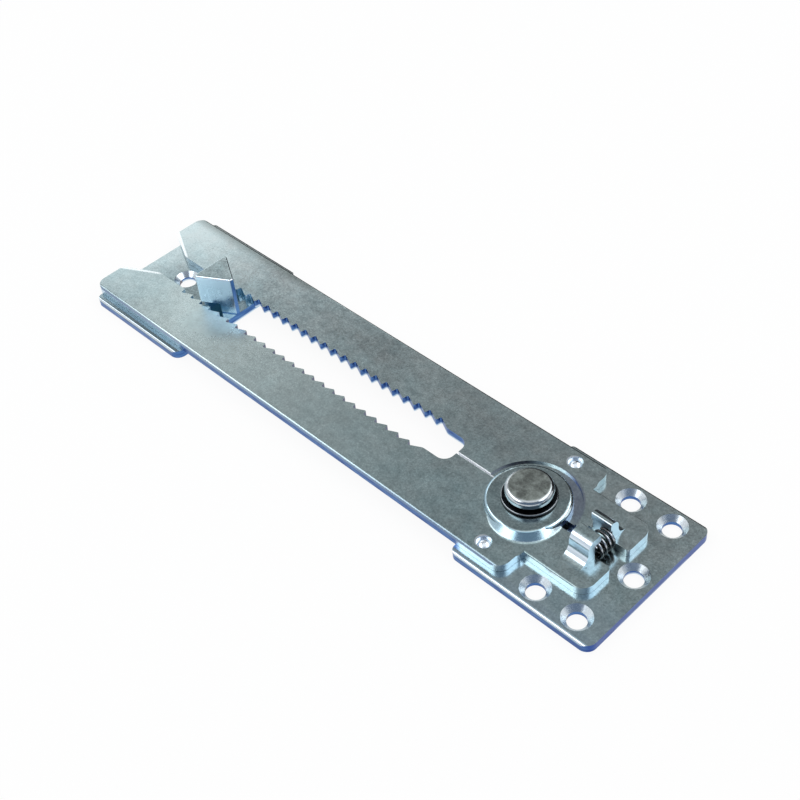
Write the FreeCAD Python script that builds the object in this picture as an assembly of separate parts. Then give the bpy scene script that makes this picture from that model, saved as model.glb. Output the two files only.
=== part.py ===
"""Sofa connector bracket: a screw-down base plate with a wedge post, and two toothed jaws
sprung together on one rivet. Millimetres, +X from the mouth to the screw end, +Z up."""
import FreeCAD, Part
import math
import os

V = FreeCAD.Vector

# Overall size. Stations along X are measured from the pivot, which sits at X_PIVOT.
LENGTH = 206.4            # jaw tips to screw end
TAIL_END = 40.5           # pivot to the screw end of the base
JAW_TIP = TAIL_END - LENGTH
X_PIVOT = LENGTH / 2 - TAIL_END
BASE_W = 50.0             # over both flanges
FLANGE_SHOW = 2.55        # flange seen beside each jaw
JAWS_W = BASE_W - 2 * FLANGE_SHOW

# Sheets, stacked upward from the mounting face at Z = 0
BASE_T = 2.6
JAW_T = 2.5
SHEET_GAP = 0.05          # running clearance between stacked sheets
JAW_Z = BASE_T + SHEET_GAP
JAW_TOP = JAW_Z + JAW_T

# Base plate
MOUTH_EDGE = JAW_TIP + 3.1
MOUTH_FLANGE_END = MOUTH_EDGE + 41.8
TAIL_FLANGE_START = -6.0
FLANGE_STEP = 5.2         # from the flange edges in to the two hidden rails
RAIL_HALF = BASE_W / 2 - FLANGE_STEP
WINDOW_HALF = 9.5
WINDOW_START = MOUTH_EDGE + 42.0
WINDOW_END = -26.6
BASE_ROLL = 0.9           # rounded upper edge along both long sides

# Screw holes
HOLE_R = 2.7
SINK_R = 4.2
HOLE_INSET = 5.7          # from the flange edges in to the side holes
SIDE_HOLE_Y = BASE_W / 2 - HOLE_INSET
SIDE_HOLE_X = (TAIL_END - 21.8, TAIL_END - 8.3)
END_HOLE_X = TAIL_END - HOLE_INSET
MOUTH_HOLE_X = MOUTH_EDGE + 15.8

# Jaws
SLIT_HALF = 0.25
TOOTH_TIP_Y = 5.15
TOOTH_ROOT_Y = 7.05
TOOTH_PITCH = 4.41
TOOTH_DROP = 0.3          # length of the steep face behind each tip
LAST_TIP = -39.4
FLARE = 12.0              # length of the tapered entry between the jaw tips
FLARE_Y = 11.3
THROAT = 29.0             # from the jaw tips to the first tooth
TEETH = 1 + int((LAST_TIP - JAW_TIP - THROAT) / TOOTH_PITCH)
SLOT_END = -26.3
SLOT_HALF = 4.85          # plain part behind the last tooth
JAW_ROLL = 0.85           # rounded upper edge along the outer side
SLIT_ROLL = 0.25
GAP_NECK = 1.5            # half gap between the jaws just behind the pivot
GAP_HALF = 3.5            # half gap at the spring
SHOULDER_X = SIDE_HOLE_X[0] - 9.0   # where the jaws step in beside the screw holes
HOLE_CLEAR = 1.0          # from the countersinks to the jaws
TAIL_HALF = SIDE_HOLE_Y - SINK_R - HOLE_CLEAR
JAW_END = TAIL_END - 10.3
DIMPLE_R = 2.15           # round pit with a domed floor, beside the pivot
DIMPLE_X = 0.5
DIMPLE_DEPTH = 0.9
DOME_R = 2.45
DOME_DROP = 0.1           # top of the dome below the face of the jaw

# Pivot
SHANK_R = 4.0
SHANK_GAP = 0.06
EYE_T = 1.85              # coined eye of the right jaw
EYE_R = SHANK_R + 6.0
EYE_CLEAR = 0.6           # round the coined eye, in the other jaw
POCKET_R = EYE_R + EYE_CLEAR
DISC_R = POCKET_R + 1.3   # raised eye of the left jaw
DISC_SHIFT = 0.45         # the raised eye is drawn a little off the pivot, to -Y
DISC_ROLL = 1.2
RECESS_R = DISC_R + 2.3   # clearance round the raised eye, in the right jaw
JOGGLE_X = 2.1            # middle of the sloped joggle, off the pivot to the screw end and -Y
JOGGLE_Y = -3.85
JOGGLE_TOP_R = DISC_R + DISC_SHIFT - math.hypot(JOGGLE_X, JOGGLE_Y)
JOGGLE_SLOPE = 2.4        # width of the slope
DIMPLE_Y = RECESS_R + 0.51 * (JAWS_W / 2 - RECESS_R)
DISC_Z = JAW_Z + EYE_T + SHEET_GAP
DISC_TOP = DISC_Z + JAW_T
WASHER_R = 7.7
WASHER_T = 0.8
NECK_R = 5.6
NECK_H = 0.7
HEAD_R = 6.7
HEAD_H = 2.9
TAIL_R = 5.6              # clinched end of the rivet, sunk in the base
TAIL_SINK = 0.1

# Ears that hold the spring
EAR_START = 18.4
EAR_END = 24.8
EAR_TOP = 11.8
EAR_OUT = GAP_HALF + JAW_T
EAR_BEND = 2.6
EAR_ROOT = 3.2
LEFT_FLAP_Y = 1.1         # inner edges of the two folded flaps
RIGHT_FLAP_Y = 2.9

# Compression spring
COIL_R = 3.2
COIL_WIRE = 0.95
COIL_TURNS = 4
COIL_X = 23.3
COIL_GAP = 0.04

# Wedge post
POST_TOP = 16.4
POST_LEN = 10.9
POST_HALF = 6.8
POST_NOSE = 0.6
POST_ROLL = 0.5
POST_WALL = 2.0
POST_BACK = 2.2
POST_FOOT = 4.4           # length of the nose that reaches the plate
JAW_CLEAR_Y = 0.35        # from the tooth tips to the foot of the post
JAW_CLEAR_Z = 1.05        # from the jaws to the raised part of the side walls


def rounded_face(points):
    """Flat face from (x, y, radius) corners, each corner replaced by a tangent arc."""
    edges, ends = [], []
    n = len(points)
    for i, (x, y, r) in enumerate(points):
        corner = V(x, y, 0)
        if r <= 0:
            ends.append((corner, corner))
            continue
        back = V(*points[i - 1][:2], 0) - corner
        ahead = V(*points[(i + 1) % n][:2], 0) - corner
        back.normalize()
        ahead.normalize()
        half = back.getAngle(ahead) / 2
        reach = r / math.tan(half)
        middle = back + ahead
        middle.normalize()
        start, stop = corner + back * reach, corner + ahead * reach
        top = corner + middle * (r / math.sin(half) - r)
        edges.append((i, Part.Arc(start, top, stop).toShape()))
        ends.append((start, stop))
    arcs = dict(edges)
    chain = []
    for i in range(n):
        if i in arcs:
            chain.append(arcs[i])
        a, b = ends[i][1], ends[(i + 1) % n][0]
        if (b - a).Length > 1e-6:
            chain.append(Part.makeLine(a, b))
    return Part.Face(Part.Wire(chain))


def prism(points, z0, z1):
    face = rounded_face(points)
    face.translate(V(0, 0, z0))
    return face.extrude(V(0, 0, z1 - z0))


def cylinder(r, z0, z1, x=0.0, y=0.0):
    return Part.makeCylinder(r, z1 - z0, V(x, y, z0))


def cone(r0, r1, z0, z1, x=0.0, y=0.0):
    return Part.makeCone(r0, r1, z1 - z0, V(x, y, z0))


def box(x0, x1, y0, y1, z0, z1):
    return Part.makeBox(x1 - x0, y1 - y0, z1 - z0, V(x0, y0, z0))


def revolve(points):
    """Solid of revolution about Z from (radius, z, corner radius) points."""
    face = rounded_face(points)
    face.rotate(V(0, 0, 0), V(1, 0, 0), 90)
    return face.revolve(V(0, 0, 0), V(0, 0, 1), 360)


def rolled_bar(half, x0, x1, z0, z1, radius):
    """Bar along X from -half to half, with both long upper edges rounded."""
    face = rounded_face([(-half, z0, 0), (half, z0, 0), (half, z1, radius), (-half, z1, radius)])
    face.rotate(V(0, 0, 0), V(1, 0, 0), 90)
    face.rotate(V(0, 0, 0), V(0, 0, 1), 90)
    face.translate(V(x0, 0, 0))
    return face.extrude(V(x1 - x0, 0, 0))


def mirrored(points):
    return [(x, -y, r) for x, y, r in reversed(points)]


def roll_edges(solid, z, radius, keep):
    """Round the edges that lie at height z and whose ends all pass the keep test."""
    chosen = []
    for edge in solid.Edges:
        ends = [v.Point for v in edge.Vertexes]
        if ends and all(abs(p.z - z) < 1e-6 and keep(p) for p in ends):
            chosen.append(edge)
    return solid.makeFillet(radius, chosen)


def screw_holes():
    places = [(x, side * SIDE_HOLE_Y) for x in SIDE_HOLE_X for side in (-1, 1)]
    places += [(END_HOLE_X, 0.0), (MOUTH_HOLE_X, 0.0)]
    cuts = []
    for x, y in places:
        sink = SINK_R - HOLE_R
        cuts.append(cylinder(HOLE_R, -1, BASE_T + 1, x, y))
        cuts.append(cone(HOLE_R, SINK_R + 0.5, BASE_T - sink, BASE_T + 0.5, x, y))
    return cuts


def plate_half():
    """Outline of the base on the -Y side, from the mouth to the screw end."""
    h = BASE_W / 2
    return [(MOUTH_EDGE, -h, 2.0), (MOUTH_FLANGE_END, -h, 3.0), (MOUTH_FLANGE_END, -RAIL_HALF, 1.2),
            (TAIL_FLANGE_START, -RAIL_HALF, 1.2), (TAIL_FLANGE_START, -h, 2.2), (TAIL_END, -h, 3.0)]


def wedge_post():
    """Folded wedge: a back wall and two slanted side walls under a flat cap, nose to the window.
    The side walls are cut away at the foot, so that the teeth of the jaws pass under them."""
    x1 = WINDOW_START
    x0 = x1 - POST_LEN
    lean = (POST_HALF - POST_NOSE) / POST_LEN
    outer = prism([(x0, -POST_HALF, 0.8), (x1, -POST_NOSE, 0.3), (x1, POST_NOSE, 0.3),
                   (x0, POST_HALF, 0.8)], BASE_T - 0.5, POST_TOP)
    post = roll_edges(outer, POST_TOP, POST_ROLL, lambda p: p.x > x0 + 0.5)
    inner_half = POST_HALF - POST_WALL * math.hypot(1, lean)
    tip = x0 + inner_half / lean
    back = x0 + POST_BACK
    inner_back = inner_half - lean * POST_BACK
    hollow = prism([(back, -inner_back, 0), (tip, 0, 0), (back, inner_back, 0)],
                   BASE_T, POST_TOP - POST_WALL)
    lift = JAW_TOP + JAW_CLEAR_Z
    relief = box(back, x1 - POST_FOOT, -POST_HALF - 1, POST_HALF + 1, BASE_T, lift)
    foot_half = TOOTH_TIP_Y - JAW_CLEAR_Y
    for side in (-1, 1):
        far = side * (POST_HALF + 1)
        near = side * foot_half
        relief = relief.fuse(box(x0 - 1, x1, min(far, near), max(far, near), 0, lift))
    return post.cut(hollow).cut(relief)


def base_plate():
    plate = prism(plate_half() + mirrored(plate_half()), 0, BASE_T)
    plate = plate.common(rolled_bar(BASE_W / 2, MOUTH_EDGE, TAIL_END, 0, BASE_T, BASE_ROLL))
    window = prism([(WINDOW_START, -WINDOW_HALF, 1.5), (WINDOW_END, -WINDOW_HALF, 3.0),
                    (WINDOW_END, WINDOW_HALF, 3.0), (WINDOW_START, WINDOW_HALF, 1.5)], -1, BASE_T + 1)
    plate = plate.cut(window)
    for cut in screw_holes():
        plate = plate.cut(cut)
    plate = plate.fuse(wedge_post())
    sunk = TAIL_R - SHANK_R
    plate = plate.cut(cylinder(SHANK_R, -1, BASE_T + 1))
    return plate.cut(cone(TAIL_R + TAIL_SINK, SHANK_R, 0, sunk + TAIL_SINK)).removeSplitter()


def jaw_outline():
    """Outline of the +Y jaw, counter-clockwise from the pivot side of the slit."""
    half = JAWS_W / 2
    step = half - TAIL_HALF
    points = [(0, GAP_NECK, 0), (EAR_START - 1.2, GAP_NECK, 0), (EAR_START - 1.2, GAP_HALF, 0),
              (JAW_END, GAP_HALF, 1.2), (JAW_END, TAIL_HALF, 4.0), (SHOULDER_X, TAIL_HALF, 0.36 * step),
              (SHOULDER_X, half, 0.43 * step), (JAW_TIP, half, 3.6), (JAW_TIP, FLARE_Y, 1.8)]
    first = LAST_TIP - (TEETH - 1) * TOOTH_PITCH
    points += [(JAW_TIP + FLARE, TOOTH_TIP_Y + 0.2, 4.0), (first - TOOTH_PITCH, TOOTH_TIP_Y, 0.3)]
    for k in range(TEETH):
        tip = first + k * TOOTH_PITCH
        points.append((tip - TOOTH_PITCH + TOOTH_DROP, TOOTH_ROOT_Y, 0.45))
        points.append((tip, TOOTH_TIP_Y, 0.4))
    points += [(LAST_TIP + TOOTH_DROP, TOOTH_ROOT_Y, 0.45), (LAST_TIP + 4.6, SLOT_HALF, 3.0),
               (SLOT_END, SLOT_HALF, 3.2), (SLOT_END, SLIT_HALF, 0.4), (0, SLIT_HALF, 0)]
    return points


def ear(flap_y):
    """Wall bent up from the +Y jaw beside the spring, with its top folded over the spring."""
    reach = EAR_OUT + EAR_ROOT + 1
    profile = [(GAP_HALF, JAW_Z, 2.0), (reach, JAW_Z, 0), (reach, JAW_TOP, 0),
               (EAR_OUT, JAW_TOP, EAR_ROOT), (EAR_OUT, EAR_TOP, EAR_BEND), (flap_y, EAR_TOP, 0.4),
               (flap_y, EAR_TOP - JAW_T, 0.3), (GAP_HALF, EAR_TOP - JAW_T, 0.2)]
    face = rounded_face(profile)
    face.rotate(V(0, 0, 0), V(1, 0, 0), 90)
    face.rotate(V(0, 0, 0), V(0, 0, 1), 90)
    face.translate(V(EAR_START, 0, 0))
    return face.extrude(V(EAR_END - EAR_START, 0, 0))


def jaw_sheet():
    """Flat +Y jaw, rounded along its outer sides and along the slit."""
    half = JAWS_W / 2
    bars = rolled_bar(half, JAW_TIP, SHOULDER_X + 0.5, JAW_Z, JAW_TOP, JAW_ROLL)
    bars = bars.fuse(rolled_bar(TAIL_HALF, SHOULDER_X - 1, JAW_END, JAW_Z, JAW_TOP, JAW_ROLL / 2))
    sheet = prism(jaw_outline(), JAW_Z, JAW_TOP).common(bars)
    start, edge = SLOT_END + 0.5, SLIT_HALF + SLIT_ROLL
    sheet = sheet.cut(box(start, 0, SLIT_HALF - 1, edge, JAW_TOP - SLIT_ROLL, JAW_TOP + 1))
    return sheet.fuse(Part.makeCylinder(SLIT_ROLL, -start, V(start, edge, JAW_TOP - SLIT_ROLL), V(1, 0, 0)))


def jaw_body(flap_y):
    """+Y jaw with its ear and its domed pit, before the eye is formed."""
    body = jaw_sheet().cut(box(EAR_START, EAR_END, GAP_HALF - 1, EAR_OUT + EAR_ROOT + 1,
                               JAW_Z - 1, JAW_TOP + 1))
    body = body.fuse(ear(flap_y))
    floor = JAW_TOP - DIMPLE_DEPTH
    body = body.cut(cylinder(DIMPLE_R, floor, JAW_TOP + 1, DIMPLE_X, DIMPLE_Y))
    dome = Part.makeSphere(DOME_R, V(DIMPLE_X, DIMPLE_Y, JAW_TOP - DOME_DROP - DOME_R))
    return body.fuse(dome.common(cylinder(DIMPLE_R, floor - 0.3, JAW_TOP, DIMPLE_X, DIMPLE_Y)))


def right_jaw():
    """+Y jaw: its eye is coined thin and lies under the other jaw's disc."""
    jaw = jaw_body(RIGHT_FLAP_Y)
    jaw = jaw.cut(cylinder(RECESS_R, JAW_Z + EYE_T, JAW_TOP + 1))
    jaw = jaw.fuse(cylinder(EYE_R, JAW_Z, JAW_Z + EYE_T))
    return jaw.cut(cylinder(SHANK_R + SHANK_GAP, 0, JAW_TOP + 1)).removeSplitter()


def left_jaw():
    """-Y jaw: its eye is raised by a round joggle so that it passes over the other eye."""
    flip = FreeCAD.Matrix()
    flip.scale(1, -1, 1)
    jaw = jaw_body(LEFT_FLAP_Y).transformGeometry(flip)
    jaw = jaw.cut(cylinder(POCKET_R, JAW_Z - 1, JAW_TOP + 1))
    foot = JOGGLE_TOP_R + JOGGLE_SLOPE
    skirt = revolve([(0, DISC_Z, 0), (foot + 1.2, DISC_Z, 0), (foot + 1.2, JAW_TOP, 0),
                     (foot, JAW_TOP, 1.0), (JOGGLE_TOP_R, DISC_TOP, 1.0), (0, DISC_TOP, 0)])
    skirt.translate(V(JOGGLE_X, JOGGLE_Y, 0))
    reach = foot + 6
    side = box(-reach, 0, -2 * reach, -SLIT_HALF, DISC_Z, DISC_TOP + 1)
    side = side.fuse(box(0, 2 * reach, -2 * reach, -GAP_NECK, DISC_Z, DISC_TOP + 1))
    skirt = skirt.common(side)
    disc = revolve([(0, DISC_Z, 0), (DISC_R, DISC_Z, 0), (DISC_R, DISC_TOP, DISC_ROLL), (0, DISC_TOP, 0)])
    disc.translate(V(0, -DISC_SHIFT, 0))
    jaw = jaw.fuse(skirt).fuse(disc)
    return jaw.cut(cylinder(SHANK_R + SHANK_GAP, 0, DISC_TOP + 1)).removeSplitter()


def pivot_rivet():
    """Shouldered rivet: round head, neck on the washer, shank, and an end clinched in the base."""
    neck = DISC_TOP + SHEET_GAP + WASHER_T
    head = neck + NECK_H
    sunk = TAIL_R - SHANK_R
    return revolve([(0, TAIL_SINK, 0), (TAIL_R, TAIL_SINK, 0), (SHANK_R, TAIL_SINK + sunk, 0),
                    (SHANK_R, neck, 0), (NECK_R, neck, 0), (NECK_R, head, 0), (HEAD_R, head, 0.6),
                    (HEAD_R, head + HEAD_H, 1.5), (0, head + HEAD_H, 0)])


def washer():
    z0 = DISC_TOP + SHEET_GAP
    return revolve([(SHANK_R, z0, 0), (WASHER_R, z0, 0.2), (WASHER_R, z0 + WASHER_T, 0.3),
                    (SHANK_R, z0 + WASHER_T, 0)])


def compression_spring():
    """Round-wire coil lying across the bracket between the two ears."""
    height = 2 * (GAP_HALF - COIL_GAP) - COIL_WIRE - 0.15
    radius = COIL_R - COIL_WIRE / 2
    helix = Part.makeHelix(height / COIL_TURNS, height, radius)
    section = Part.Wire(Part.makeCircle(COIL_WIRE / 2, V(radius, 0, 0), V(0, 1, 0)))
    coil = Part.Wire(helix.Edges).makePipeShell([section], True, True)
    coil.translate(V(0, 0, -height / 2))
    coil.rotate(V(0, 0, 0), V(1, 0, 0), 90)
    coil.translate(V(COIL_X, 0, BASE_T + 0.15 + COIL_R))
    return coil


def main():
    os.makedirs("parts", exist_ok=True)
    pieces = {"base_plate": base_plate(), "left_jaw": left_jaw(), "right_jaw": right_jaw(),
              "pivot_rivet": pivot_rivet(), "washer": washer(),
              "compression_spring": compression_spring()}
    for name, shape in pieces.items():
        shape.translate(V(X_PIVOT, 0, 0))
        solids = shape.Solids
        solid = solids[0] if len(solids) == 1 else shape
        b = solid.BoundBox
        print(name, "solids", len(solids), "valid", solid.isValid(), "volume %.1f" % solid.Volume,
              "x %.2f %.2f y %.2f %.2f z %.2f %.2f" % (b.XMin, b.XMax, b.YMin, b.YMax, b.ZMin, b.ZMax))
        solid.exportStep("parts/" + name + ".step")


main()
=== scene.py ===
# %% [markdown]
# # Sofa connector bracket
# A flat bracket of bright zinc-plated sheet steel lies on a white table. Two toothed jaws are
# riveted over a base plate and a small spring behind the rivet presses them together.
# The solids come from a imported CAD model, so this script only adds what the eye notices:
# the finish of the plating, the wound spring, the light and the camera.

import math

import bpy
import numpy as np
from mathutils import Matrix, Vector


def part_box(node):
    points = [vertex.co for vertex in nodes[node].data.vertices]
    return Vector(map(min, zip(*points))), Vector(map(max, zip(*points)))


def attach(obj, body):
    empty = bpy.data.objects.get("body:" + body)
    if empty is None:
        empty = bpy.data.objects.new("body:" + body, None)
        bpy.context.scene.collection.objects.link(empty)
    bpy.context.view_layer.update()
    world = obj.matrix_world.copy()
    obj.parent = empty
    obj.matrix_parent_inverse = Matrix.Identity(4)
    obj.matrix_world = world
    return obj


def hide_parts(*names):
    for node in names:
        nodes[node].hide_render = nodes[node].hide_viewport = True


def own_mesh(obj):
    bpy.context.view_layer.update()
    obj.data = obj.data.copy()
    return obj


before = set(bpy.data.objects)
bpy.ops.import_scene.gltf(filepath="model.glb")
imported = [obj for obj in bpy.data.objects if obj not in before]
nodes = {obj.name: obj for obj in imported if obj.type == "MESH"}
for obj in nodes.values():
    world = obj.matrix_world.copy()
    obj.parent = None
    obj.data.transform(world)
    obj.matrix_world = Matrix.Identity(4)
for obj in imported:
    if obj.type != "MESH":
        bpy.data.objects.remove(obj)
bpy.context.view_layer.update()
MM = 0.001

# %% [markdown]
# ## Where the pivot is
# Most details are placed from the rivet, because the real bracket is laid out from it too.
# The rivet's own box gives its centre, so nothing is typed in twice.

# %% Pivot, ears and spring seat
rivet_low, rivet_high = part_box("pivot_rivet")
PIVOT_X = (rivet_low.x + rivet_high.x) / 2
jaw_low, jaw_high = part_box("left_jaw")
coil_low, coil_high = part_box("compression_spring")
base_low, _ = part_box("base_plate")
print("pivot at x = %.1f mm" % (PIVOT_X / MM))

# %% [markdown]
# A few places on the sheets are not boxes of the model, so they are measured once: how thick a
# sheet is, where the pits lie, how long the slit is and where the jaws' slanted mouth starts.
# `SLIT_X` is in mm from the pivot. The photograph is taken from the level direction `TOWARD`.

# %% Places on the sheets
SHEET = 2.5 * MM
DIMPLE_Y = 18.4 * MM
SLIT_X = -26.6, -12.6
FLARE_TIP = -165.9 * MM, 11.3 * MM
FLARE_FALL = 0.52
ACROSS = 0.6526, 0.7577, 0
TOWARD = 0.7577, -0.6526, 0
print("sheet %.1f mm thick, slit %.1f mm long" % (SHEET / MM, SLIT_X[1] - SLIT_X[0]))


# %% [markdown]
# ## Shader sums as Python sums
# A material is easier to read as a formula than as a tangle of node calls. This small class
# wraps one socket. Adding or multiplying two of them adds a Math node, and `node` adds any
# other node with its settings and inputs.

# %% The socket class
class Sock:
    """One output socket in a node tree. Arithmetic on it adds Math nodes."""

    def __init__(self, tree, socket=None):
        self.tree, self.socket = tree, socket

    def node(self, kind, settings=None, inputs=None, out=0):
        """Add a node: settings first (a ramp's stops too), then numbers or links on its inputs."""
        made = self.tree.nodes.new("ShaderNode" + kind)
        for key, value in (settings or {}).items():
            if key == "stops":
                ramp = made.color_ramp
                while len(ramp.elements) < len(value):
                    ramp.elements.new(0.5)
                for element, (place, tint) in zip(ramp.elements, value):
                    element.position, element.color = place, tint
            else:
                setattr(made, key, value)
        for key, value in (inputs or {}).items():
            if isinstance(value, Sock):
                self.tree.links.new(value.socket, made.inputs[key])
            else:
                made.inputs[key].default_value = value
        return Sock(self.tree, made.outputs[out]) if made.outputs else None

    def math(self, operation, a, b=0.0):
        return self.node("Math", {"operation": operation}, {0: a, 1: b})

    def __add__(self, other):
        return self.math("ADD", self, other)

    def __sub__(self, other):
        return self.math("SUBTRACT", self, other)

    def __rsub__(self, other):
        return self.math("SUBTRACT", other, self)

    def __mul__(self, other):
        return self.math("MULTIPLY", self, other)

    __radd__, __rmul__ = __add__, __mul__

    def clip(self, low, high):
        """0 below low, 1 above high, a straight line between."""
        return self.node("MapRange", {"clamp": True}, {0: self, 1: low, 2: high, 3: 0.0, 4: 1.0})

    def mix(self, a, b):
        """Colour a where this mask is 0, colour b where it is 1."""
        return self.node("Mix", {"data_type": "RGBA", "clamp_factor": True},
                         {0: self, 6: a, 7: b}, out=2)


def new_material(name):
    """An empty material and the Sock from which its nodes are added."""
    material = bpy.data.materials.new(name)
    material.use_nodes = True
    material.node_tree.nodes.clear()
    return material, Sock(material.node_tree)


def principled(start, constants, varying):
    """Close the tree with one Principled BSDF: constants on its own sockets, the rest linked."""
    shader = start.node("BsdfPrincipled", None, {**constants, **varying})
    start.node("OutputMaterial", None, {"Surface": shader})


# %% [markdown]
# ## Patterns in real millimetres
# Object coordinates are in metres, so a noise whose grains are 1 mm wide needs a scale of
# 1000. `grain` takes the grain size instead and stretches it along the rolling direction.

# %% Pattern helpers
def coordinates(start):
    return start.node("TexCoord", None, None, out=3)


def grain(start, size_mm, detail=3.0, rough=0.6, stretch=(1, 1, 1), shift=0.0):
    """Noise with grains size_mm wide; a stretch above 1 makes them longer along that axis."""
    scaled = start.node("Mapping", None, {
        "Vector": coordinates(start), "Location": (shift, shift * 0.7, shift * 0.3),
        "Scale": tuple(1 / s for s in stretch)})
    return start.node("TexNoise", None, {
        "Vector": scaled, "Scale": 1 / (size_mm * MM), "Detail": detail, "Roughness": rough})


def axis_of(vector, axis):
    return vector.node("SeparateXYZ", None, {0: vector}, out="XYZ".index(axis))


def up_share(start):
    """Height of the surface normal: 1 on faces that look up, 0 on cut walls."""
    return axis_of(start.node("NewGeometry", None, None, out=1), "Z")


def colour(r, g, b):
    """A colour given as screen values from 0 to 255, turned into the linear values of a socket."""
    def linear(c):
        c /= 255
        return c / 12.92 if c <= 0.04045 else ((c + 0.055) / 1.055) ** 2.4
    return (linear(r), linear(g), linear(b), 1.0)


# %% [markdown]
# ## Bright zinc plate
# The sheets are steel with a thin zinc layer under a bluish passivation. Seen from above it is
# a grey-green with a speckled mottle and faint violet clouds. The sheared edges carry painted
# reflections: where an edge stands open over the bluish table it is painted a clear blue, and
# where it stands on the plate below it is painted pale. Every finish is a colour mixed in by a
# mask, and a mask is made from where a point lies, in mm from the pivot, and from the way it
# faces.

# %% Masks and the sheet they are measured on
def between(value, low, high, soft):
    """1 from low to high, falling to 0 over the distance soft outside them."""
    return value.clip(low - soft, low) * (1 - value.clip(high, high + soft))


def ramp(value, low, high):
    """A mask over a length: 0 up to low mm, 1 from high mm on."""
    return value.clip(low * MM, high * MM)


def band(value, low, high, soft):
    """A mask over a length: 1 from low mm to high mm, with soft ends."""
    return between(value, low * MM, high * MM, soft * MM)


def distance(start, a, b):
    return start.math("SQRT", a * a + b * b)


def spread(noise, gain):
    """A noise centred on 0 and widened, because Blender's noise stays near its middle."""
    return (noise - 0.5) * gain


class Sheet:
    """A point of a sheet: x and y from the pivot, its reach from there, z, and how it faces."""

    def __init__(self, start, bottom, top):
        place = coordinates(start)
        self.start, self.bottom = start, bottom
        self.x, self.y = axis_of(place, "X") - PIVOT_X, axis_of(place, "Y")
        self.z = axis_of(place, "Z")
        self.reach = distance(start, self.x, self.y)
        self.outward_y = start.math("ABSOLUTE", self.y)
        self.facing = start.node("NewGeometry", None, None, out=1)
        self.face_x, self.face_y, self.up = (axis_of(self.facing, word) for word in "XYZ")
        self.side = 1 - start.math("ABSOLUTE", self.up).clip(0.10, 0.35)
        self.raised = self.z.clip(top + 0.1 * MM, top + 0.4 * MM)

    def looks(self, direction):
        """How far the surface faces a level direction, from -1 to 1."""
        return self.start.node("VectorMath", {"operation": "DOT_PRODUCT"},
                               {0: self.facing, 1: direction}, out=1)


# %% [markdown]
# ## Faces
# Flat faces are not one grey. Clouds, a mottle and fine specks come from three noises. Other
# places are painted lighter or darker to stand for light: a painted sheen on the tips, on the far
# half of the -Y jaw and on the base's -Y flange, painted reflections on the rolled long edges, and
# painted shade at the +Y jaw's mouth edge, in the base's mouth and in the ring beside the eye.

# %% Faces of the sheets
def face_tone(sheet, mottle, speck, under_jaws):
    """0 dark to 1 light = clouds + mottle + specks + painted tip sheen - the eye - painted mouth
    shade.
    """
    cloud = grain(sheet.start, 12.0, 2.0, 0.5, (1.8, 1, 1), 0.3)
    # Painted sheen: lighter towards the tips, most on the +Y side.
    tip = ramp(0 - sheet.x, 125, 165) * ramp(sheet.y, -14, 18)
    eye = sheet.raised * (1 - ramp(sheet.reach, 12, 13))
    tone = (spread(cloud, 0.5) + spread(mottle, 0.8) + spread(speck, 1.2)
            + tip * 0.54 - eye * 0.25 + 0.47)
    if under_jaws:
        # Painted shade: the base is painted darker in the mouth between the jaws.
        mouth = ramp(sheet.x, -161, -151) * (1 - ramp(sheet.x, -125, -115))
        tone = tone - mouth * (1 - sheet.raised) * 0.4
    return tone.clip(0.0, 1.0)


def face_colour(sheet, tone, tones):
    """Light and dark, each between its green and its violet, with the violet towards +Y."""
    light, dark = tones
    patches = grain(sheet.start, 7.0, 3.0, 0.6, shift=9.0).clip(0.30, 0.72)
    hue = patches * 0.5 + ramp(sheet.y, -15, 15) * 0.5
    return tone.mix(hue.mix(*dark), hue.mix(*light))


def base_flange_sheen(sheet, top):
    """Painted sheen: the -Y flange of the base is painted lighter and bluer, most of all beside
    the pivot.
    """
    flange = ramp(0 - sheet.y, 8, 14) * ramp(sheet.x, -30, -20)
    share = 0.72 - ramp(sheet.x, -8, 4) * 0.52
    return (flange * share).mix(top, colour(190, 214, 232))


def post_scuff(sheet):
    """1 on the jaw beside the post, where the mating bracket rubs, falling off round it."""
    away = distance(sheet.start, sheet.x + 123 * MM, sheet.y + 9 * MM)
    return 1 - ramp(away, 3, 14)


def jaw_sheen_and_shade(sheet, scuff, top):
    """Painted sheen on the far half of the -Y jaw; painted shade on the +Y jaw's mouth edge."""
    # Painted sheen: the far half of the -Y jaw is painted lighter, less beside the post.
    sheen = ramp(0 - sheet.y, -2, 6) * ramp(0 - sheet.x, 20, 104)
    sheen = sheen * (1 - ramp(0 - sheet.x, 132, 152) * 0.8)
    top = (sheen * (0.58 - scuff * 0.30)).mix(top, colour(214, 230, 230))
    # Painted shade: the +Y jaw darkens to its edge at the mouth.
    mouth_edge = ramp(sheet.y, 18.6, 22.4) * (1 - ramp(sheet.x, -112, -100))
    return (mouth_edge * 0.75).mix(top, colour(92, 100, 98))


def edge_rolls(sheet, top, under_jaws):
    """Painted reflections: a dull +Y roll and a blue -Y roll. Painted shade: a violet ring beside
    the eye. On the base the dull roll is only at the mouth flange and the blue one is faint."""
    dull = ramp(sheet.y, 21.7, 22.5) * 0.8
    blue = ramp(0 - sheet.y, 21.8, 22.4) * 0.8
    dull_tint = colour(112, 118, 118)
    if under_jaws:
        dull, blue = dull * (1 - ramp(sheet.x, -110, -100)), blue * 0.15
        dull_tint = colour(84, 90, 90)
    top = blue.mix(dull.mix(top, dull_tint), colour(110, 131, 168))
    # Painted shade: a violet ring in the gap beside the raised eye.
    around = band(sheet.reach, 11.4, 14.4, 0.5) * ramp(sheet.y, -2, 5) * ramp(sheet.x, -3, 4)
    return (around * 0.45).mix(top, colour(104, 110, 146))
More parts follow.
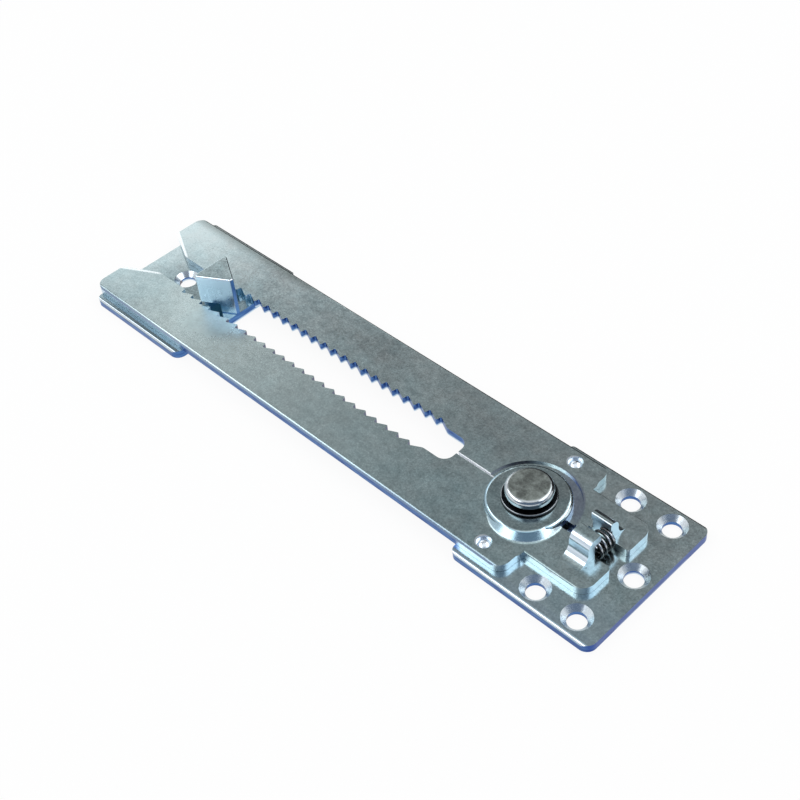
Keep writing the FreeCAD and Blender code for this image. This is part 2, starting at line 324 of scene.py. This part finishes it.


# %% [markdown]
# ## Sheared edges
# An edge that stands open over the bluish table is painted blue, smeared with navy, as a painted
# reflection of the table, with a pale band at its foot. The walls that stand on the plate below
# are painted pale, a painted reflection of the plate.

# %% Walls of the sheets
def blue_wall(sheet, walls, ring):
    """Open edge, a painted reflection: pale foot, then blue and navy; painted shade on the -Y
    teeth and round the eye's gap, deep blue at the end.
    """
    pale, blue, navy, dull = walls
    streaks = grain(sheet.start, 1.6, 3.0, 0.6, (3, 3, 0.5), 4.2)
    smear = (spread(streaks, 3.0) + 0.5).clip(0.0, 1.0)
    # Painted reflection: blue above a pale band at the foot, and blue down to the bottom beyond
    # |y| = 15 mm.
    blue_share = sheet.z.clip(sheet.bottom + 0.25 * MM, sheet.bottom + 0.7 * MM)
    blue_share = sheet.start.math("MAXIMUM", blue_share, ramp(sheet.outward_y, 14, 15))
    wall = blue_share.mix(pale, smear.mix(blue, navy))
    # Painted shade: dull on the inner walls of the -Y teeth, navy on the wall round the eye's gap.
    inner = sheet.face_y.clip(0.0, 0.2) * ramp(0 - sheet.y, 0, 0.5)
    wall = (ring * 0.6).mix(inner.mix(wall, dull), colour(70, 82, 116))
    end_face = sheet.face_x.clip(0.5, 0.8) * ramp(sheet.x, 30, 35)
    return (end_face * 0.6).mix(wall, colour(26, 60, 146))


def pale_wall(sheet, walls):
    """Wall over the plate, painted pale as a reflection of the plate: painted shade in the gap
    round the eye, a painted highlight where it looks to -Y, and painted shade at the +Y shoulder."""
    pale, dull = walls[0], walls[3]
    gap = band(sheet.reach, 12.5, 14.6, 0.3) * (1 - ramp(sheet.x, 0, 5))
    lit = (0 - sheet.face_y).clip(0.5, 0.9) * ramp(sheet.x, -10, -5) * (1 - sheet.raised)
    wall = lit.mix(gap.mix(pale, dull), colour(240, 252, 255))
    shoulder = sheet.face_x.clip(0.5, 0.8) * ramp(sheet.y, 12, 14)
    return (shoulder * 0.6).mix(wall, colour(130, 150, 154))


def wall_colour(sheet, walls, open_x):
    """Painted reflections: blue where the edge stands open, over open_x and round the eye's gap;
    pale elsewhere.
    """
    ring = band(sheet.reach, 12.0, 14.6, 0.3) * ramp(sheet.x, 0, 5)
    open_edge = band(sheet.x, *open_x, 2) * ramp(sheet.reach, 14.6, 15.6)
    open_edge = sheet.start.math("MAXIMUM", open_edge, ring)
    return open_edge.mix(pale_wall(sheet, walls), blue_wall(sheet, walls, ring))


# %% [markdown]
# ## Bends, pits and painted highlights
# The bends, the pits, the far walls of the countersinks and the lead-in of the jaws are painted
# bright as painted highlights, and the joggle is painted lighter and darker by the way it faces.

# %% Bright marks
# Painted light and shade on the joggle, from dark where it faces away from ACROSS to white where
# it faces along it.
JOGGLE_SHADES = [(0.05, colour(128, 142, 149)), (0.25, colour(172, 202, 218)),
                 (0.45, colour(160, 196, 214)), (0.55, colour(164, 200, 216)),
                 (0.72, colour(232, 250, 255))]


def bends_and_pits(sheet, skin):
    """Painted highlights: bright bends and two bright pits, and a joggle painted lighter and
    darker by the way it faces.
    """
    bend = sheet.raised * between(sheet.up, 0.35, 0.90, 0.06)
    skin = bend.mix(skin, colour(214, 228, 240))
    shade = sheet.start.node("ValToRGB", {"stops": JOGGLE_SHADES},
                             {0: sheet.looks(ACROSS) * 0.5 + 0.5})
    skin = (bend * (1 - ramp(sheet.reach, 14.9, 15.2))).mix(skin, shade)
    # Painted highlight: the two pits are painted bright.
    pit = distance(sheet.start, sheet.x, sheet.outward_y - DIMPLE_Y)
    return (1 - ramp(pit, 2.0, 2.3)).mix(skin, colour(220, 230, 240))


def lead_in_highlight(sheet, skin):
    """A painted highlight along the slanted edge of each jaw's mouth: |y| = tip y - fall (x - tip
    x).
    """
    inside = sheet.outward_y + (sheet.x - FLARE_TIP[0]) * FLARE_FALL - FLARE_TIP[1]
    lead_in_glint = band(inside, 0, 0.9, 0.4) * (1 - ramp(sheet.x, -154, -151))
    return (lead_in_glint * 0.8).mix(skin, colour(236, 244, 248))


def sink_highlights(sheet, skin, slope):
    """Painted highlight: the far walls of the countersinks are painted bright."""
    sink_glint = slope * sheet.looks(TOWARD).clip(-0.25, 0.15) * (1 - ramp(sheet.y, 23.8, 24.2))
    return (sink_glint * 0.66).mix(skin, colour(236, 244, 252))


def post_glow(sheet):
    """Painted glow: a very faint teal emission in the hollow under the post, else pure black."""
    under = (band(sheet.x, -131, -121, 0.5) * (1 - ramp(sheet.outward_y, 6.5, 7.5))
             * (1 - ramp(sheet.z, 5.2, 5.4)))
    return under.mix((0, 0, 0, 1), colour(22, 50, 66))


# %% Zinc material
def zinc(name, tones, walls, gloss, open_x, heights, under_jaws=False):
    """tones = light and dark of the faces, each as a green and a violet; walls = pale, blue,
    navy and dull of the edges; open_x = where along X the edges stand open, in mm from the
    pivot; heights = bottom and top of the flat sheet; under_jaws = whether it is the base."""
    material, start = new_material(name)
    sheet = Sheet(start, *heights)
    mottle = grain(start, 2.4, 4.0, 0.6, (1.4, 1, 1), 1.1)
    speck = grain(start, 0.6, 2.0, 0.7, (1, 1, 1), 2.3)
    tone = face_tone(sheet, mottle, speck, under_jaws)
    top = face_colour(sheet, tone, tones)
    scuff = None if under_jaws else post_scuff(sheet)
    top = base_flange_sheen(sheet, top) if under_jaws else jaw_sheen_and_shade(sheet, scuff, top)
    top = edge_rolls(sheet, top, under_jaws)
    skin = sheet.side.mix(top, wall_colour(sheet, walls, open_x))
    if under_jaws:
        # Painted reflections on the raised walls of the base: blue where they face +X, pale
        # elsewhere.
        nose = sheet.face_x.clip(0.5, 0.8).mix(walls[0], walls[1])
        skin = (sheet.raised * sheet.side).mix(skin, nose)
    skin = bends_and_pits(sheet, skin)
    if not under_jaws:
        skin = lead_in_highlight(sheet, skin)
    # Painted highlight: the slit is painted near white and not metallic, so it reads as a bright
    # line.
    slit = band(sheet.x, *SLIT_X, 0.2) * (1 - ramp(sheet.outward_y, 0.32, 0.50))
    skin = slit.mix(skin, colour(240, 244, 248))
    slope = between(sheet.up, 0.5, 0.9, 0.06) * (1 - sheet.raised)
    rough = spread(tone, 0.12) + gloss + sheet.side * 0.12 + slope * 0.10
    if under_jaws:
        skin = sink_highlights(sheet, skin, slope)
    else:
        rough = rough + scuff * 0.16
    bump = start.node("Bump", None, {
        "Strength": 0.4, "Distance": 0.02 * MM, "Height": mottle * 0.6 + speck * 0.4})
    principled(start, {"IOR": 1.5, "Emission Strength": 1.0},
               {"Base Color": skin, "Metallic": 1 - slit, "Roughness": rough, "Normal": bump,
                "Emission Color": post_glow(sheet)})
    return material


light_tones = colour(178, 203, 208), colour(184, 196, 198)
dark_tones = colour(121, 144, 150), colour(124, 134, 137)
# Wall tints: pale, blue and navy are painted reflections, dull is painted shade.
wall_tints = (colour(200, 219, 234), colour(84, 124, 178), colour(50, 82, 144),
              colour(108, 106, 116))
JAW_OPEN_X = -121, -6
BASE_OPEN_X = -1000, 1000
jaw_zinc = zinc("jaw zinc", (light_tones, dark_tones), wall_tints, 0.21, JAW_OPEN_X,
                (jaw_low.z, jaw_low.z + SHEET))
base_zinc = zinc("base zinc", (light_tones, dark_tones), wall_tints, 0.18, BASE_OPEN_X,
                 (base_low.z, jaw_low.z), under_jaws=True)
print("zinc materials:", jaw_zinc.name, base_zinc.name)


# %% [markdown]
# ## Rivet and washer
# The rivet head was pressed with a tool, so its flat top is dull and blotchy, while its rounded
# rim is burnished and painted lighter as a highlight. The thin washer under it is blackened, and
# only its bevel is painted lighter, a painted highlight.

# %% Rivet and washer materials
def steel(name, light, dark, rim, flat_rough, rim_rough, bevel_only):
    """rim is the colour of the rounded edge, painted lighter as a highlight; with bevel_only the
    upright wall is dark too.
    """
    material, start = new_material(name)
    blotch = grain(start, 2.6, 4.0, 0.65, shift=5.0)
    grit = grain(start, 0.5, 3.0, 0.7, shift=6.0)
    tone = (spread(blotch, 3.4) + spread(grit, 1.6) + 0.5).clip(0.0, 1.0)
    up = up_share(start)
    shine = 1 - up.clip(0.90, 0.99)
    if bevel_only:
        shine = shine * up.clip(0.2, 0.45)
    skin = shine.mix(tone.mix(dark, light), rim)
    rough = shine * (rim_rough - flat_rough) + flat_rough + spread(tone, 0.08)
    bump = start.node("Bump", None, {
        "Strength": 0.4, "Distance": 0.03 * MM, "Height": blotch * 0.6 + grit * 0.4})
    principled(start, {"Metallic": 1.0}, {"Base Color": skin, "Roughness": rough, "Normal": bump})
    return material


rivet_steel = steel("rivet steel", colour(146, 155, 152), colour(102, 108, 106),
                    colour(190, 198, 204), 0.38, 0.17, False)
washer_steel = steel("washer steel", colour(34, 38, 42), colour(14, 16, 20),
                     colour(150, 158, 164), 0.34, 0.20, True)


# %% [markdown]
# ## Oiled spring wire
# The spring is dark, oiled music wire: nearly black with sharp, thin highlights. A clear coat
# over a dark metal gives both, and a painted highlight, a light spot on each coil, adds to them.

# %% Spring wire material
# The way the painted highlight on each coil faces.
GLINT_FACING = 0.62, -0.35, 0.70


def oiled_wire(name):
    """Black wire with a painted highlight, a light spot on each coil, on the side that looks up
    and to +X.
    """
    material, start = new_material(name)
    draw = grain(start, 0.4, 3.0, 0.6, shift=7.0)
    facing = start.node("NewGeometry", None, None, out=1)
    spot = start.node("VectorMath", {"operation": "DOT_PRODUCT"},
                      {0: facing, 1: GLINT_FACING}, out=1).clip(0.84, 0.97)
    skin = draw.clip(0.3, 0.7).mix(colour(10, 12, 15), colour(26, 30, 34))
    principled(start, {"Metallic": 0.8, "Coat Roughness": 0.05, "Coat Weight": 1.0},
               {"Base Color": spot.mix(skin, colour(206, 214, 222)),
                "Roughness": draw * 0.10 + 0.16})
    return material


spring_wire = oiled_wire("spring wire")

# %% [markdown]
# ## Finishes on the CAD nodes
# Each solid keeps its mesh and takes one material.

# %% Assign the finishes
finishes = {"base_plate": base_zinc, "left_jaw": jaw_zinc, "right_jaw": jaw_zinc,
            "pivot_rivet": rivet_steel, "washer": washer_steel, "compression_spring": spring_wire}
for name, finish in finishes.items():
    nodes[name].data.materials.clear()
    nodes[name].data.materials.append(finish)
print("finished nodes:", sorted(finishes))


# %% [markdown]
# ## Surfaces from arrays
# A new piece is a grid of points worked out by numpy. `grid_mesh` joins the grid into quads,
# and closes it round either direction or with a point at each end.

# %% Grid to mesh
def grid_mesh(name, points, material, poles=False):
    """Mesh from points[row, column, xyz]: the columns close into a ring, and with poles each
    end row is closed by one extra point at its centre. Quad = (r, c), (r, c+1), (r+1, c+1),
    (r+1, c)."""
    rows, cols, _ = points.shape
    index = np.arange(rows * cols).reshape(rows, cols)
    a, b = index[:-1], index[1:]
    quads = np.stack([a, np.roll(a, -1, 1), np.roll(b, -1, 1), b], -1).reshape(-1, 4)
    verts = points.reshape(-1, 3)
    faces = quads.tolist()
    if poles:
        ends = np.stack([points[0].mean(0), points[-1].mean(0)])
        first, last = len(verts), len(verts) + 1
        verts = np.concatenate([verts, ends])
        head = np.stack([np.roll(index[0], -1), index[0], np.full(cols, first)], -1)
        tail = np.stack([index[-1], np.roll(index[-1], -1), np.full(cols, last)], -1)
        faces += head.tolist() + tail.tolist()
    mesh = bpy.data.meshes.new(name)
    mesh.from_pydata(verts, [], faces)
    mesh.shade_smooth()
    mesh.materials.append(material)
    obj = bpy.data.objects.new(name, mesh)
    bpy.context.scene.collection.objects.link(obj)
    return obj


# %% [markdown]
# ## The spring, wound as it is made
# A compression spring is a helix with its end coils closed flat and ground. The two jaws press
# it from both ends, each on its own joint, and the wire is made in two halves that meet at the
# middle. Both halves are attached to the base.

# %% Spring halves
COIL_TURNS = 4.2
CLOSED_TURNS = 0.6
WIRE = 0.95 * MM
coil_mid = (coil_low + coil_high) / 2
coil_radius = (coil_high.z - coil_low.z) / 2 - WIRE / 2
coil_half = (coil_high.y - coil_low.y) / 2


def wound_wire(side, along=260, around=16):
    """Half of the spring, from the middle (u = 0) to one end (u = 1). Centre of the wire:
    x = R cos a, z = R sin a, y = side * rise(u), where a grows with u and the rise slows to one
    wire's thickness a turn on the closed end coil. The ground end is y cut off at the seat."""
    u = np.linspace(0, 1, along)
    turns = COIL_TURNS / 2 * u
    angle = 2 * math.pi * turns * side + math.pi / 2
    free = COIL_TURNS / 2 - CLOSED_TURNS
    reach = coil_half - WIRE * 0.42
    closed_rise = WIRE * 0.93 * CLOSED_TURNS
    rise = np.where(turns < free, turns / free * (reach - closed_rise),
                    reach - closed_rise + (turns - free) * WIRE * 0.93)
    centre = np.stack([coil_radius * np.cos(angle), side * rise, coil_radius * np.sin(angle)], -1)
    forward = np.gradient(centre, axis=0)
    forward /= np.linalg.norm(forward, axis=1, keepdims=True)
    outward = np.stack([np.cos(angle), 0 * angle, np.sin(angle)], -1)
    across = np.cross(forward, outward)
    turn = np.linspace(0, 2 * math.pi, around, endpoint=False)
    ring = (np.cos(turn)[None, :, None] * outward[:, None, :]
            + np.sin(turn)[None, :, None] * across[:, None, :])
    points = centre[:, None, :] + ring * WIRE / 2
    points[..., 1] = np.clip(points[..., 1], -coil_half, coil_half)
    return points + np.array(coil_mid)


for word, side, joint in (("left", -1, "left_jaw_pivot"), ("right", 1, "right_jaw_pivot")):
    half = grid_mesh("spring_%s_half" % word, wound_wire(side), spring_wire, poles=True)
    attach(half, "base")
    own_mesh(half)
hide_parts("compression_spring")

# %% [markdown]
# ## Table, light and surroundings
# The bracket lies on a white table between two long soft boxes, with a smaller third one beyond
# it. The table shows itself as plain white to the camera and to reflections. Overhead the room
# is darker than at the horizon, and that is what makes flat metal look grey while its rounded
# edges shine.

# %% Table
TABLE_HALF = 3.0
TABLE_DROP = 0.2 * MM
table_points = np.array([[[x, y, -TABLE_DROP] for x in (-TABLE_HALF, TABLE_HALF)]
                         for y in (-TABLE_HALF, TABLE_HALF)])
table_mesh = bpy.data.meshes.new("table")
table_mesh.from_pydata(table_points.reshape(-1, 3), [], [(0, 1, 3, 2)])
table = bpy.data.objects.new("table", table_mesh)
bpy.context.scene.collection.objects.link(table)
table_finish, start = new_material("white table")
path = {word: start.node("LightPath", None, None, out=word)
        for word in ("Is Camera Ray", "Is Glossy Ray", "Is Transmission Ray")}
seen = start.math("MINIMUM", path["Is Camera Ray"] + path["Is Glossy Ray"]
                  + path["Is Transmission Ray"], 1.0)
matt = start.node("BsdfDiffuse", None, {"Color": (0.8, 0.8, 0.8, 1)})
plain = start.node("Emission", None, {"Color": (1, 1, 1, 1), "Strength": 1.0})
mixed = start.node("MixShader", None, {0: seen * 0.92, 1: matt, 2: plain})
start.node("OutputMaterial", None, {"Surface": mixed})
table_mesh.materials.append(table_finish)

# %% Camera
AZIMUTH = math.radians(-40.738)
ELEVATION = math.radians(44.689)
ROLL = math.radians(-6.119)
CAMERA_PLACE = Vector((218.03, -175.11, 276.87)) * MM
FOCAL_PX = 1344.3
PHOTO_PX = 800
SENSOR = 36.0
back = Vector((math.cos(ELEVATION) * math.cos(AZIMUTH),
               math.cos(ELEVATION) * math.sin(AZIMUTH), math.sin(ELEVATION)))
right = Vector((-math.sin(AZIMUTH), math.cos(AZIMUTH), 0))
upward = back.cross(right)
camera_x = math.cos(ROLL) * right + math.sin(ROLL) * upward
camera_y = math.cos(ROLL) * upward - math.sin(ROLL) * right
lens = bpy.data.cameras.new("photo camera")
lens.sensor_width, lens.lens = SENSOR, FOCAL_PX / PHOTO_PX * SENSOR
lens.clip_start, lens.clip_end = 0.01, 20
camera = bpy.data.objects.new("photo camera", lens)
camera.matrix_world = Matrix([(camera_x.x, camera_y.x, back.x, CAMERA_PLACE.x),
                              (camera_x.y, camera_y.y, back.y, CAMERA_PLACE.y),
                              (camera_x.z, camera_y.z, back.z, CAMERA_PLACE.z), (0, 0, 0, 1)])
bpy.context.scene.collection.objects.link(camera)
bpy.context.scene.camera = camera
print("camera lens %.1f mm" % lens.lens)


# %% Soft boxes
def soft_box(name, place, size, level):
    """A rectangular lamp that faces the bracket; level is how bright it looks, with 1 as white."""
    lamp = bpy.data.lights.new(name, "AREA")
    lamp.shape, lamp.size, lamp.size_y = "RECTANGLE", size[0], size[1]
    lamp.energy = level * math.pi * size[0] * size[1]
    box = bpy.data.objects.new(name, lamp)
    box.location = place
    box.rotation_euler = Vector(place).to_track_quat("Z", "Y").to_euler()
    bpy.context.scene.collection.objects.link(box)
    return box


toward = Vector((back.x, back.y, 0)).normalized()
height = Vector((0, 0, 1))
soft_box("left soft box", -right * 0.46 + height * 0.56, (0.9, 0.30), 2.6)
soft_box("right soft box", right * 0.46 + height * 0.56, (0.9, 0.30), 2.5)
soft_box("far soft box", -toward * 0.66 - right * 0.12 + height * 0.34, (0.5, 0.20), 1.32)

# %% [markdown]
# Photographers lay dark cards beside bright metal, so that the edges that would mirror the
# white table keep a clear line. One card lies beyond the bracket and one stands behind it. The
# camera does not see them.


# %% Dark cards
def dark_card(name, corners):
    mesh = bpy.data.meshes.new(name)
    mesh.from_pydata([tuple(c * MM for c in corner) for corner in corners], [], [(0, 1, 2, 3)])
    card = bpy.data.objects.new(name, mesh)
    bpy.context.scene.collection.objects.link(card)
    finish, start = new_material(name)
    felt = start.node("BsdfDiffuse", None, {"Color": (0.03, 0.03, 0.03, 1)})
    start.node("OutputMaterial", None, {"Surface": felt})
    mesh.materials.append(finish)
    card.visible_camera = card.visible_shadow = card.visible_diffuse = False
    return card


dark_card("lying card", [(-160, 27, -0.1), (140, 27, -0.1), (140, 300, -0.1), (-160, 300, -0.1)])
dark_card("standing card", [(-420, 300, 0), (220, 300, 0), (220, 300, 190), (-420, 300, 190)])

# %% World
world = bpy.data.worlds.new("studio")
world.use_nodes = True
world.node_tree.nodes.clear()
start = Sock(world.node_tree)
direction = start.node("TexCoord", None, None, out=0)
rise = axis_of(direction, "Z")
near = start.node("VectorMath", {"operation": "DOT_PRODUCT"},
                  {0: direction, 1: tuple(toward)}, out=1)


def grey(level):
    return (level, level, level, 1)


sky = start.node("ValToRGB", {"stops": [
    (0.0, grey(1)), (0.28, grey(1)), (0.52, grey(0.66)), (0.70, grey(0.44)),
    (0.84, grey(0.44)), (0.94, grey(1.1)), (1.0, grey(1.1))]}, {0: rise})
dim = near.clip(0.2, 0.55) * rise.clip(0.06, 0.18) * (1 - rise.clip(0.74, 0.92))
room = dim.mix(sky, (0.14, 0.19, 0.27, 1))
light = start.node("Background", None, {"Color": room, "Strength": 1.0})
start.node("OutputWorld", None, {"Surface": light})
bpy.context.scene.world = world
bpy.context.scene.view_settings.view_transform = "Standard"
